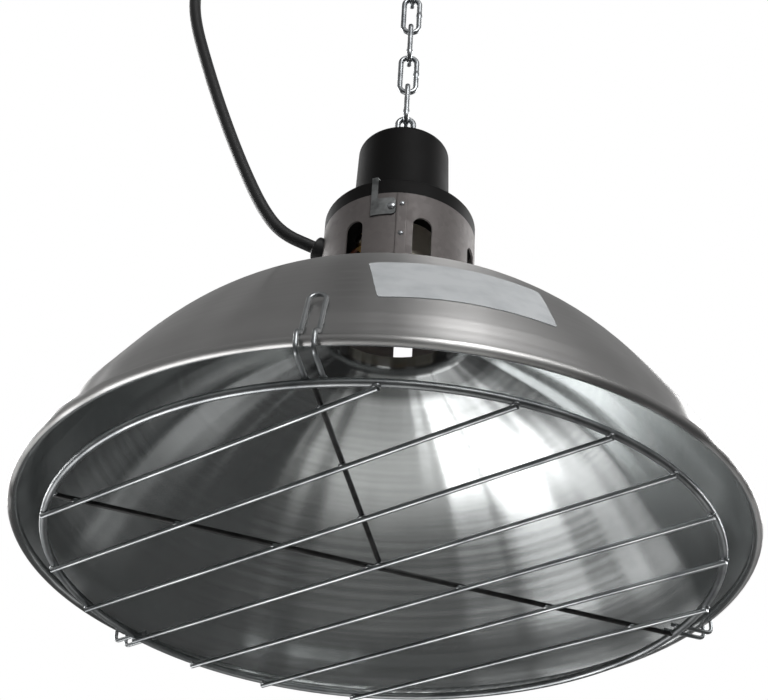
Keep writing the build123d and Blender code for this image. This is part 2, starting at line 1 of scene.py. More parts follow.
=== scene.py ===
"""Heat lamp: lead, fittings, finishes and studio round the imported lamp, laid out as an add-on."""

import math

import bpy
from bpy.props import FloatProperty, FloatVectorProperty, PointerProperty
from mathutils import Matrix, Vector


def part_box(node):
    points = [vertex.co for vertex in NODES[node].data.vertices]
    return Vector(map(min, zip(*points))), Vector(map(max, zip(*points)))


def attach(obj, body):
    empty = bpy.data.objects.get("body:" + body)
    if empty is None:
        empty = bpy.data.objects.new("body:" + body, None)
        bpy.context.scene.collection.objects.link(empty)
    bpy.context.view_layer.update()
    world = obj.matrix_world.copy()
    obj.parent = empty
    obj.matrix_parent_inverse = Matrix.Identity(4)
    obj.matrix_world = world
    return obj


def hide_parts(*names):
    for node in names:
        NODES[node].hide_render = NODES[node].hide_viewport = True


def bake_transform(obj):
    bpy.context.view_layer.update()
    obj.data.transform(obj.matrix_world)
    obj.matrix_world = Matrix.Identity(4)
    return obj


bl_info = {
    "name": "Heat Lamp",
    "version": (1, 0, 0),
    "blender": (4, 5, 0),
    "location": "View3D > Sidebar > Heat Lamp",
    "description": "Builds the lead, fittings, finishes and studio of a hanging heat lamp",
    "category": "Add Mesh",
}

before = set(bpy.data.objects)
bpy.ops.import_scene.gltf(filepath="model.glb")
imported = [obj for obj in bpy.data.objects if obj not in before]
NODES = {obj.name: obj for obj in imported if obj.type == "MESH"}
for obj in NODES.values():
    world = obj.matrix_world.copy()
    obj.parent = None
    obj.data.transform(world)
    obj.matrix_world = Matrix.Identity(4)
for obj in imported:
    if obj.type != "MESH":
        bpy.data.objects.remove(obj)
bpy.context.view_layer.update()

# Places that the lamp itself gives, in metres: the hook's bearing point is the origin
NECK_LOW, NECK_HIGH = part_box("neck_sleeve")
NECK_R = NECK_HIGH.y
BEAD_R = 0.0024
RIM_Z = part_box("reflector")[0].z + BEAD_R
SHELL_LOW, SHELL_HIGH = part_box("screw_shell")
RELIEF_LOW, RELIEF_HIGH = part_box("plug_relief")
PLUG_LOW, PLUG_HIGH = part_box("plug_body")
PLUG_AXIS = (RELIEF_LOW + RELIEF_HIGH) / 2
TERMINAL_Z = sum(corner.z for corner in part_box("terminal_live")) / 2
TERMINAL_TURNS = [math.radians(-45), math.radians(-135)]
TURN = 2 * math.pi

# The lead's route: out of the neck, up beside the chain and into the coil
STRIPPED_END = (-0.03094, 0.0, -0.40751)
LEAD_ROUTE = [
    STRIPPED_END,
    (-0.04454, 0.0, -0.40117),
    (-0.06176, 0.0, -0.39314),
    (-0.0732, 0.0, -0.3779),
    (-0.0867, 0.0004, -0.3489),
    (-0.1014, 0.0012, -0.3117),
    (-0.1151, 0.0026, -0.272),
    (-0.1274, 0.0046, -0.2318),
    (-0.1302, 0.0066, -0.2038),
    (-0.1263, 0.0086, -0.1748),
    (-0.11364, 0.0111, -0.14654),
    (-0.101805, 0.0111, -0.121156),
]
COIL_MIDDLE = (-0.0586, 0.0, -0.1338)
COIL_LEAN = math.radians(25)
COIL_R = 0.0445
COIL_STEP = 0.0074
COIL_HALF_TURNS = 14
LAYER_HALF_TURNS = 4
HALF_TURN_POINTS = 8
PLUG_TURN_R = 0.0274
PLUG_TURN = math.radians(40)
INTO_RELIEF = 0.004
# A curve of order 3 runs inside its control points by this share of a turn's radius
INSIDE = (6 + 2 * math.cos(math.pi / HALF_TURN_POINTS)) / 8
# How far along the lead each bend between two bodies ends: a swing to the side takes up more of it
SPAN_ENDS = [0.096, 0.142, 0.206, 0.252]
CORE_ROUTES = {
    "core_live": [
        (-0.03094, -0.00165, -0.40751),
        (-0.02641, -0.00165, -0.40962),
        (-0.02298, -0.01096, -0.4102),
        (-0.01945, -0.0145, -0.4102),
    ],
    "core_neutral": [
        (-0.03094, 0.00165, -0.40751),
        (-0.02641, 0.00165, -0.40962),
        (-0.02298, 0.01096, -0.4102),
        (-0.01945, 0.0145, -0.4102),
    ],
}

# The guard's wires, seen from above: a ring, seven bars, a brace across them, a spoke and three clips
GUARD_RING_R = 0.1528
BARS = 7
BAR_PITCH = 0.0389
BAR_SHIFT = -0.0056
BAR_TURN = math.radians(-39)
BRACE_TURN = math.radians(20.5)
SPOKE_TURN = math.radians(-101)
CLIP_TURNS = [BRACE_TURN, math.radians(140.5), SPOKE_TURN]
CLIP_LEG = 0.0035
# How far under the rim the wires are welded, and how far inside the ring the brace and the spoke end
BAR_WELD_DROP = 0.0106
BRACE_WELD_DROP = 0.0094
BRACE_WELD_INSET = 0.0014
CLIP_WELD_DROP = 0.0069
# The chain, of which the coil's ties hold the middle links, and a link's leg beside its middle
LINKS = 11
TIED_LINKS = range(5, 10)
LINK_LEG = 0.0045

# The label's middle, as its turn from the front, its distance from the axis and its height over the rim
LABEL_TURN = math.radians(11)
LABEL_DISTANCE = 0.1415
LABEL_RISE = 0.051
LABEL_TILT = math.radians(-36.6)

# The view from below, and the floor under the lamp
CAMERA_PLACE = (0, -0.6338, -0.8999)
CAMERA_AIM = Vector((-0.0061, 0.8238, 0.5669))
CAMERA_ROLL = math.radians(3.35)
CAMERA_LENS = 72.13
SENSOR_WIDTH = 36
FLOOR_R = 0.34
FLOOR_Z = -1.3


def linear(hex_colour):
    """Linear colour of an sRGB hex value."""
    shares = [int(hex_colour[i:i + 2], 16) / 255 for i in (1, 3, 5)]
    return tuple(s / 12.92 if s <= 0.04045 else ((s + 0.055) / 1.055) ** 2.4 for s in shares)


def colour(name, hex_colour, about):
    """Colour property with a name, what it colours, and its default."""
    return FloatVectorProperty(
        name=name, description=about, subtype="COLOR", size=3, min=0, max=1, default=linear(hex_colour)
    )


def length(name, metres, about):
    """Length property with a name, what it measures, and its default."""
    return FloatProperty(
        name=name, description=about, subtype="DISTANCE", unit="LENGTH", min=0, precision=4, default=metres
    )


class LampColours(bpy.types.PropertyGroup):
    """Colours of the lamp's finishes."""

    aluminium: colour("Aluminium", "#cdd0d0", "Bright inside of the reflector")
    aluminium_outside: colour("Aluminium outside", "#c6c5c4", "Satin outside of the reflector")
    neck: colour("Neck", "#6b6665", "Plated neck sleeve")
    thermoset: colour("Cap", "#0a0909", "Cap and flange")
    zinc: colour("Zinc", "#b9bcbe", "Chain, hook, eye bolt and nuts")
    strap: colour("Straps", "#8d8f8f", "Straps that hold the flange to the neck")
    wire: colour("Guard wire", "#aeb1b2", "Guard ring, bars and clips")
    # Painted shade: the brace and spoke lie in shade above the bars, so their wire is coloured dark
    brace: colour("Brace wire", "#4b4b4b", "Guard brace and spoke")
    steatite: colour("Steatite", "#ded8ca", "Lampholder")
    brass: colour("Brass", "#b8955a", "Shell, contact and terminals")
    nickel: colour("Nickel", "#cfcac0", "Plug pins")
    rubber: colour("Rubber", "#131314", "Lead, grommet and plug")
    nylon: colour("Nylon", "#26272a", "Cable ties")
    core_brown: colour("Live core", "#5d3420", "Insulation of the live core")
    core_blue: colour("Neutral core", "#2f5da8", "Insulation of the neutral core")
    label: colour("Label", "#cdd0d2", "Bare label on the reflector")
    paper: colour("Studio paper", "#eaeae8", "Floor of the studio")


class LampSizes(bpy.types.PropertyGroup):
    """Sizes of the lamp's fittings."""

    lead_d: length("Lead", 0.0068, "Diameter of the mains lead")
    core_d: length("Core", 0.0022, "Diameter of an insulated core")
    rivet_r: length("Rivet", 0.0021, "Radius of a strap rivet's head")
    label_w: length("Label width", 0.0755, "Width of the label round the reflector")
    label_h: length("Label height", 0.0435, "Height of the label up the reflector")
    label_t: length("Label thickness", 0.0003, "Thickness of the label")


def linked_node(tree, kind, inputs=(), **settings):
    """Add a node with its settings, and give its inputs their values or links."""
    made = tree.nodes.new(kind)
    for name, value in settings.items():
        setattr(made, name, value)
    for name, value in dict(inputs).items():
        if isinstance(value, bpy.types.NodeSocket):
            tree.links.new(value, made.inputs[name])
        else:
            made.inputs[name].default_value = value
    return made


def new_finish(name):
    """Empty material with its node tree and shader."""
    finish = bpy.data.materials.new(name)
    finish.use_nodes = True
    return finish.node_tree, finish.node_tree.nodes["Principled BSDF"]


def four(rgb):
    """Colour with a full alpha."""
    return (*rgb, 1.0)


def rest():
    """Object mode with nothing selected, so that the next tool acts on its own piece alone."""
    if bpy.context.mode != "OBJECT":
        bpy.ops.object.mode_set(mode="OBJECT")
    bpy.ops.object.select_all(action="DESELECT")


def take(piece):
    """Make a piece the one selected and active object."""
    rest()
    piece.select_set(True)
    bpy.context.view_layer.objects.active = piece


def settle(piece, place=None):
    """Put a piece in its place, with that place in its mesh."""
    take(piece)
    if place is not None:
        piece.matrix_world = place @ piece.matrix_world
    bpy.ops.object.transform_apply(location=True, rotation=True, scale=True)


def dress(piece, finish, angle=35):
    """Smooth a piece and give it its finish."""
    take(piece)
    bpy.ops.object.shade_smooth_by_angle(angle=math.radians(angle))
    piece.data.materials.clear()
    piece.data.materials.append(bpy.data.materials[finish])


def curve_of(name, points, kind):
    """Curve object of one open spline through or along points."""
    data = bpy.data.curves.new(name, "CURVE")
    data.dimensions = "3D"
    spline = data.splines.new(kind)
    spline.points.add(len(points) - 1)
    for place, point in zip(spline.points, points):
        place.co = (*point, 1)
    piece = bpy.data.objects.new(name, data)
    bpy.context.scene.collection.objects.link(piece)
    return piece, spline


def smooth_line(points, fineness):
    """Points along the smooth curve that has a route's points as its control points."""
    route, spline = curve_of("route", points, "NURBS")
    spline.order_u = 3
    spline.use_endpoint_u = True
    spline.resolution_u = fineness
    bpy.context.view_layer.update()
    mesh = bpy.data.meshes.new_from_object(route.evaluated_get(bpy.context.evaluated_depsgraph_get()))
    line = [vertex.co.copy() for vertex in mesh.vertices]
    bpy.data.meshes.remove(mesh)
    bpy.data.objects.remove(route)
    return line


def line_length(line):
    """Length along points."""
    return sum((after - before).length for before, after in zip(line, line[1:]))


def tube_along(name, line, radius):
    """Round closed tube along points, as a mesh."""
    piece = curve_of(name, line, "POLY")[0]
    piece.data.bevel_depth = radius
    piece.data.bevel_resolution = 6
    piece.data.use_fill_caps = True
    take(piece)
    bpy.ops.object.convert(target="MESH")
    return bpy.context.object


def coil_place(across, layer, up):
    """Point in the coil: across it, by its layer from the back, and up, with the coil's lean."""
    layers = COIL_HALF_TURNS // LAYER_HALF_TURNS + 1
    deep = ((layers - 1) / 2 - layer) * COIL_STEP
    lean = Matrix.Rotation(COIL_LEAN, 4, "Y")
    return Vector(COIL_MIDDLE) + lean @ Vector((across, deep, up))


def coil_route():
    """Control points of the coil's turns and of the turn over to the plug."""
    reach = COIL_R
    radius = COIL_R - COIL_STEP / 4
    growth = -COIL_STEP / 2
    layer = 0
    points = []
    for half_turn in range(1, COIL_HALF_TURNS):
        start_x = -reach if half_turn % 2 else reach
        reach = 2 * radius - reach
        end_x = reach if half_turn % 2 else -reach
        climb = 0
        if half_turn % LAYER_HALF_TURNS == 0:
            climb = 1
            growth = -growth
        up = 1 if half_turn % 2 else -1
        for step in range(HALF_TURN_POINTS):
            angle = math.pi * (step + 0.5) / HALF_TURN_POINTS
            share = (1 - math.cos(angle) / INSIDE) / 2
            rise = up * abs(end_x - start_x) / 2 * math.sin(angle) / INSIDE
            points.append(coil_place(start_x + (end_x - start_x) * share, layer + climb * share, rise))
        layer += climb
        radius += growth
    return points + plug_turn_route(end_x, layer, radius)


def plug_turn_route(start_x, layer, radius):
    """Control points of the last half turn, as far as it stands upright, and of the turn to the plug."""
    last_sweep = math.pi - COIL_LEAN
    middle_x = start_x - radius
    points = []
    for step in range(HALF_TURN_POINTS - 1):
        angle = -last_sweep * (step + 0.5) / (HALF_TURN_POINTS - 1)
        points.append(coil_place(
            middle_x + radius * math.cos(angle) / INSIDE, layer, radius * math.sin(angle) / INSIDE
        ))
    leave = coil_place(
        middle_x + radius * math.cos(last_sweep), layer, -radius * math.sin(last_sweep)
    )
    ahead = Vector((math.sin(PLUG_TURN), -math.cos(PLUG_TURN), 0))
    for step in range(HALF_TURN_POINTS):
        angle = math.pi * (step + 0.5) / HALF_TURN_POINTS
        out = PLUG_TURN_R * (1 - math.cos(angle) / INSIDE)
        points.append(leave + ahead * out + Vector((0, 0, PLUG_TURN_R * math.sin(angle) / INSIDE)))
    down = leave + ahead * 2 * PLUG_TURN_R
    return points + [down, Vector((down.x, down.y, RELIEF_HIGH.z - INTO_RELIEF))]


# Finishes

def aluminium_spun(colours):
    """Aluminium sheet spun over a former: tool rings draw its shine out into rays from the middle."""
    tree, shader = new_finish("aluminium_spun")
    place = linked_node(tree, "ShaderNodeTexCoord")
    flat = linked_node(
        tree, "ShaderNodeVectorMath", {0: place.outputs["Object"], 1: (1, 1, 0)}, operation="MULTIPLY"
    )
    reach = linked_node(tree, "ShaderNodeVectorMath", {0: flat.outputs["Vector"]}, operation="LENGTH")
    height = linked_node(tree, "ShaderNodeSeparateXYZ", {"Vector": place.outputs["Object"]})
    along = linked_node(
        tree, "ShaderNodeMath", {0: reach.outputs["Value"], 1: height.outputs["Z"]}, operation="SUBTRACT"
    )
    # Tool rings are 0.3 mm apart, drawn at 4 mm so that they show
    rings = linked_node(
        tree, "ShaderNodeTexNoise",
        {"W": along.outputs["Value"], "Scale": 1 / 0.004, "Detail": 0}, noise_dimensions="1D",
    )
    # Handling marks are a hand's width across
    marks = linked_node(
        tree, "ShaderNodeTexNoise",
        {"Vector": place.outputs["Object"], "Scale": 1 / 0.07, "Detail": 4, "Roughness": 0.55},
    )
    outward = linked_node(
        tree, "ShaderNodeVectorMath",
        {0: place.outputs["Normal"], 1: flat.outputs["Vector"]}, operation="DOT_PRODUCT",
    )
    outside = linked_node(
        tree, "ShaderNodeMath", {0: outward.outputs["Value"], 1: 0.0}, operation="GREATER_THAN"
    )
    bright, satin = four(colours.aluminium), four(colours.aluminium_outside)
    sides = linked_node(
        tree, "ShaderNodeMix",
        {"Factor": outside.outputs["Value"], "A": bright, "B": satin}, data_type="RGBA",
    )
    dull = linked_node(
        tree, "ShaderNodeMapRange",
        {"Value": marks.outputs["Fac"], "From Min": 0.35, "From Max": 0.7, "To Min": 1.0, "To Max": 0.86},
    )
    # Painted dark reflection: the inside round the neck is darkened out to about 55 mm from the middle,
    # standing in for the dark surroundings that the flat top round the neck mirrors
    painted_dark_reflection = linked_node(
        tree, "ShaderNodeMapRange",
        {"Value": reach.outputs["Value"], "From Min": 0.051, "From Max": 0.058, "To Min": 0.3},
    )
    # Only the inside takes this painted dark reflection; the outside keeps its full colour
    painted_dark_reflection_inside = linked_node(
        tree, "ShaderNodeMath",
        {0: painted_dark_reflection.outputs["Result"], 1: outside.outputs["Value"]}, operation="MAXIMUM",
    )
    # Handling marks times the painted dark reflection
    shade = linked_node(
        tree, "ShaderNodeMath", {0: dull.outputs["Result"], 1: painted_dark_reflection_inside.outputs["Value"]}, operation="MULTIPLY"
    )
    tint = linked_node(
        tree, "ShaderNodeMix",
        {"Factor": 1.0, "A": sides.outputs["Result"], "B": shade.outputs["Value"]},
        data_type="RGBA", blend_type="MULTIPLY",
    )
    gloss = linked_node(
        tree, "ShaderNodeMapRange",
        {"Value": rings.outputs["Fac"], "From Min": 0.3, "From Max": 0.7, "To Min": 0.22, "To Max": 0.26},
    )
    worn = linked_node(
        tree, "ShaderNodeMath",
        {0: outside.outputs["Value"], 1: 0.1, 2: gloss.outputs["Result"]}, operation="MULTIPLY_ADD",
    )
    # Thin sheet springs back in shallow lobes, which break up its shine and fade towards the stiff neck:
    # about one to each 4 cm of the rim, and up to 4 mm deep at 10 cm from the middle
    bearing = linked_node(tree, "ShaderNodeVectorMath", {0: flat.outputs["Vector"]}, operation="NORMALIZE")
    rim_r, lobe = 0.17, 0.04
    lobes = linked_node(
        tree, "ShaderNodeTexNoise", {"Vector": bearing.outputs["Vector"], "Scale": rim_r / lobe, "Detail": 1}
    )
    depth = linked_node(
        tree, "ShaderNodeMath", {0: lobes.outputs["Fac"], 1: reach.outputs["Value"]}, operation="MULTIPLY"
    )
    deepest, deep_reach = 0.004, 0.1
    sprung = linked_node(
        tree, "ShaderNodeBump",
        {"Height": depth.outputs["Value"], "Strength": 0.45, "Distance": deepest / deep_reach},
    )
    relief = linked_node(
        tree, "ShaderNodeBump",
        {
            "Height": rings.outputs["Fac"], "Strength": 0.02, "Distance": 0.0003,
            "Normal": sprung.outputs["Normal"],
        },
    )
    round_axis = linked_node(tree, "ShaderNodeTangent", direction_type="RADIAL", axis="Z")
    shader.inputs["Metallic"].default_value = 1.0
    shader.inputs["Anisotropic"].default_value = 0.9
    shader.inputs["Anisotropic Rotation"].default_value = 0.25
    tree.links.new(tint.outputs["Result"], shader.inputs["Base Color"])
    tree.links.new(worn.outputs["Value"], shader.inputs["Roughness"])
    tree.links.new(relief.outputs["Normal"], shader.inputs["Normal"])
    tree.links.new(round_axis.outputs["Tangent"], shader.inputs["Tangent"])


def steel_sheet_galvanised(colours):
    """Rolled steel sheet dipped in zinc: dull crystals, browned by the heat of the bulb."""
    tree, shader = new_finish("steel_sheet_galvanised")
    place = linked_node(tree, "ShaderNodeTexCoord")
    # Zinc crystals on thin sheet are about 3 mm across
    crystals = linked_node(
        tree, "ShaderNodeTexVoronoi", {"Vector": place.outputs["Object"], "Scale": 1 / 0.003}
    )
    shade = linked_node(tree, "ShaderNodeSeparateColor", {"Color": crystals.outputs["Color"]})
    bright = linked_node(
        tree, "ShaderNodeMapRange", {"Value": shade.outputs["Red"], "To Min": 0.94, "To Max": 1.05}
    )
    heat = linked_node(
        tree, "ShaderNodeTexNoise", {"Vector": place.outputs["Object"], "Scale": 1 / 0.03, "Detail": 3}
    )
    browned = linked_node(
        tree, "ShaderNodeMix",
        {"Factor": heat.outputs["Fac"], "A": four(colours.neck), "B": four(linear("#635e5c"))},
        data_type="RGBA",
    )
    tint = linked_node(
        tree, "ShaderNodeMix",
        {"Factor": 1.0, "A": browned.outputs["Result"], "B": bright.outputs["Result"]},
        data_type="RGBA", blend_type="MULTIPLY",
    )
    gloss = linked_node(
        tree, "ShaderNodeMapRange", {"Value": shade.outputs["Green"], "To Min": 0.54, "To Max": 0.66}
    )
    # Rolling grain is finer than a tenth of a millimetre, drawn at half a millimetre so that it shows
    grain = linked_node(
        tree, "ShaderNodeTexNoise", {"Vector": place.outputs["Object"], "Scale": 1 / 0.0005, "Detail": 2}
    )
    relief = linked_node(
        tree, "ShaderNodeBump", {"Height": grain.outputs["Fac"], "Strength": 0.15, "Distance": 0.0001}
    )
    shader.inputs["Metallic"].default_value = 0.35
    tree.links.new(tint.outputs["Result"], shader.inputs["Base Color"])
    tree.links.new(gloss.outputs["Result"], shader.inputs["Roughness"])
    tree.links.new(relief.outputs["Normal"], shader.inputs["Normal"])


def phenolic_moulded(colours):
    """Black phenolic resin pressed in a steel mould: satin, with a faint flow of filler and dust."""
    tree, shader = new_finish("phenolic_moulded")
    place = linked_node(tree, "ShaderNodeTexCoord")
    # Wood-flour filler is about 0.4 mm long, drawn at 1 mm so that it shows
    filler = linked_node(
        tree, "ShaderNodeTexNoise", {"Vector": place.outputs["Object"], "Scale": 1 / 0.001, "Detail": 3}
    )
    dust = linked_node(
        tree, "ShaderNodeTexNoise", {"Vector": place.outputs["Object"], "Scale": 1 / 0.018, "Detail": 5}
    )
    veil = linked_node(
        tree, "ShaderNodeMapRange",
        {"Value": dust.outputs["Fac"], "From Min": 0.45, "From Max": 0.75, "To Max": 0.3},
    )
    tint = linked_node(
        tree, "ShaderNodeMix",
        {"Factor": veil.outputs["Result"], "A": four(colours.thermoset), "B": four(linear("#171615"))},
        data_type="RGBA",
    )
    gloss = linked_node(
        tree, "ShaderNodeMapRange", {"Value": dust.outputs["Fac"], "To Min": 0.5, "To Max": 0.74}
    )
    relief = linked_node(
        tree, "ShaderNodeBump", {"Height": filler.outputs["Fac"], "Strength": 0.1, "Distance": 0.0002}
    )
    shader.inputs["IOR"].default_value = 1.5
    shader.inputs["Specular IOR Level"].default_value = 0.14
    tree.links.new(tint.outputs["Result"], shader.inputs["Base Color"])
    tree.links.new(gloss.outputs["Result"], shader.inputs["Roughness"])
    tree.links.new(relief.outputs["Normal"], shader.inputs["Normal"])


def plated_metal(name, bright, dull, cloud, roughness, grit):
    """Metal with a plated skin: bright with duller clouds of that size, and a fine grit."""
    tree, shader = new_finish(name)
    place = linked_node(tree, "ShaderNodeTexCoord")
    clouds = linked_node(
        tree, "ShaderNodeTexNoise", {"Vector": place.outputs["Object"], "Scale": 1 / cloud, "Detail": 5}
    )
    share = linked_node(
        tree, "ShaderNodeMapRange", {"Value": clouds.outputs["Fac"], "From Min": 0.38, "From Max": 0.68}
    )
    tint = linked_node(
        tree, "ShaderNodeMix",
        {"Factor": share.outputs["Result"], "A": four(bright), "B": four(dull)}, data_type="RGBA",
    )
    gloss = linked_node(
        tree, "ShaderNodeMapRange",
        {"Value": clouds.outputs["Fac"], "To Min": roughness[0], "To Max": roughness[1]},
    )
    fine = linked_node(
        tree, "ShaderNodeTexNoise", {"Vector": place.outputs["Object"], "Scale": 1 / grit, "Detail": 2}
    )
    relief = linked_node(
        tree, "ShaderNodeBump", {"Height": fine.outputs["Fac"], "Strength": 0.15, "Distance": 0.0001}
    )
    shader.inputs["Metallic"].default_value = 1.0
    tree.links.new(tint.outputs["Result"], shader.inputs["Base Color"])
    tree.links.new(gloss.outputs["Result"], shader.inputs["Roughness"])
    tree.links.new(relief.outputs["Normal"], shader.inputs["Normal"])


def soft_compound(name, tone, dusty, grit, roughness, strength, ior):
    """Rubber or plastic: one tone with a dusty bloom, over a grit of that size."""
    tree, shader = new_finish(name)
    place = linked_node(tree, "ShaderNodeTexCoord")
    bloom = linked_node(
        tree, "ShaderNodeTexNoise", {"Vector": place.outputs["Object"], "Scale": 1 / 0.012, "Detail": 4}
    )
    share = linked_node(
        tree, "ShaderNodeMapRange",
        {"Value": bloom.outputs["Fac"], "From Min": 0.42, "From Max": 0.75, "To Max": 0.6},
    )
    tint = linked_node(
        tree, "ShaderNodeMix",
        {"Factor": share.outputs["Result"], "A": four(tone), "B": four(dusty)}, data_type="RGBA",
    )
    gloss = linked_node(
        tree, "ShaderNodeMapRange",
        {"Value": bloom.outputs["Fac"], "To Min": roughness[0], "To Max": roughness[1]},
    )
    fine = linked_node(
        tree, "ShaderNodeTexNoise", {"Vector": place.outputs["Object"], "Scale": 1 / grit, "Detail": 3}
    )
    relief = linked_node(
        tree, "ShaderNodeBump", {"Height": fine.outputs["Fac"], "Strength": strength, "Distance": 0.0002}
    )
    shader.inputs["IOR"].default_value = ior
    tree.links.new(tint.outputs["Result"], shader.inputs["Base Color"])
    tree.links.new(gloss.outputs["Result"], shader.inputs["Roughness"])
    tree.links.new(relief.outputs["Normal"], shader.inputs["Normal"])


# The finish of each of the lamp's own parts, by how its name starts: a later line overrules an earlier one
NODE_FINISHES = {
    "aluminium_spun": ["reflector"],
    "steel_sheet_galvanised": ["neck_sleeve"],
    "phenolic_moulded": ["lamp_cap", "cap_flange"],
    "steel_zinc_plated": ["eye_bolt", "eye_locknut", "eye_nut", "s_hook", "chain_link"],
    "steel_strip_dull_zinc": ["flange_strap"],
    "steel_wire_bright_zinc": ["guard_"],
    # The dark finish on the brace and spoke is painted shade
    "steel_wire_painted_shade": ["guard_brace", "guard_spoke"],
    "steatite_glazed": ["holder_body"],
    "brass_drawn": ["screw_shell", "centre_contact", "terminal_"],
    "brass_nickel_plated": ["plug_pin"],
    "rubber_moulded": ["cord_grommet", "plug_body", "plug_relief"],
    "nylon_moulded": ["cord_tie"],
}


# Modelling

def pick(piece, test):
    """Enter edit mode with only the vertices that pass a test selected."""
    rest()
    bpy.context.view_layer.objects.active = piece
    piece.select_set(True)
    for group in (piece.data.polygons, piece.data.edges, piece.data.vertices):
        group.foreach_set("select", [False] * len(group))
    piece.data.vertices.foreach_set("select", [bool(test(v.co)) for v in piece.data.vertices])
    bpy.ops.object.mode_set(mode="EDIT")
    bpy.ops.mesh.select_mode(type="VERT")


def tidy(piece):
    """Merge doubled points and turn every face outwards."""
    pick(piece, lambda point: True)
    bpy.ops.mesh.remove_doubles(threshold=1e-6)
    bpy.ops.mesh.normals_make_consistent(inside=False)
    rest()


def harden(piece, kind, **settings):
    """Give a piece a modifier and apply it."""
    take(piece)
    modifier = piece.modifiers.new(kind.lower(), kind)
    for name, value in settings.items():
        setattr(modifier, name, value)
    bpy.ops.object.modifier_apply(modifier=modifier.name)


def turned_piece(name, rings, sides):
    """Closed turned piece on the Z axis: a disc drawn up from ring to ring, each a radius and a height."""
    rest()
    (radius, height), *others = rings
    bpy.ops.mesh.primitive_circle_add(
        vertices=sides, radius=radius, fill_type="NGON", location=(0, 0, height), enter_editmode=True
    )
    for next_radius, next_height in others:
        bpy.ops.mesh.extrude_region_move(TRANSFORM_OT_translate={"value": (0, 0, next_height - height)})
        share = next_radius / radius
        bpy.ops.transform.resize(value=(share, share, 1), center_override=(0, 0, next_height))
        radius, height = next_radius, next_height
    rest()
    piece = bpy.context.object
    piece.name = name
    settle(piece)
    return piece


def upright_line(name, foot, top, cuts):
    """Line in the XZ plane between two points, each a distance from the axis and a height."""
    rest()
    tall = top[1] - foot[1]
    bpy.ops.mesh.primitive_plane_add(
        size=tall, location=(foot[0] + tall / 2, 0, foot[1] + tall / 2), rotation=(math.pi / 2, 0, 0)
    )
    piece = bpy.context.object
    piece.name = name
    settle(piece)
    pick(piece, lambda point: point.x > foot[0] + tall / 2)
    bpy.ops.mesh.delete(type="VERT")
    pick(piece, lambda point: point.z > foot[1] + tall / 2)
    bpy.ops.transform.translate(value=(top[0] - foot[0], 0, 0))
    pick(piece, lambda point: True)
    bpy.ops.mesh.subdivide(number_cuts=cuts)
    rest()
    return piece


def bent_sheet(name, foot, top, cuts, start, end, steps):
    """Sheet round the lamp's axis between two turns from the front, drawn by spinning an upright line."""
    piece = upright_line(name, foot, top, cuts)
    pick(piece, lambda point: True)
    bpy.ops.mesh.spin(steps=steps, angle=end - start, center=(0, 0, 0), axis=(0, 0, 1))
    rest()
    settle(piece, Matrix.Rotation(end - math.pi / 2, 4, "Z"))
    tidy(piece)
    return piece


def side_place(turn, distance, height):
    """Place on the lamp's side with Z outwards, by its turn from the front."""
    outward = Vector((math.sin(turn), -math.cos(turn), 0))
    place = outward.to_track_quat("Z", "Y").to_matrix().to_4x4()
    place.translation = outward * distance + Vector((0, 0, height))
    return place


def copies(piece, name, places):
    """One copy of a piece at each place, each with its own mesh, in place of the piece itself."""
    made = []
    for number, place in enumerate(places, 1):
        take(piece)
        bpy.ops.object.duplicate()
        copy = bpy.context.object
        copy.name = f"{name}_{number}"
        settle(copy, place)
        made.append(copy)
    bpy.data.objects.remove(piece)
    return made


def joined(pieces, name):
    """Several pieces as one."""
    rest()
    for piece in pieces:
        piece.select_set(True)
    bpy.context.view_layer.objects.active = pieces[0]
    bpy.ops.object.join()
    bpy.context.object.name = name
    return bpy.context.object


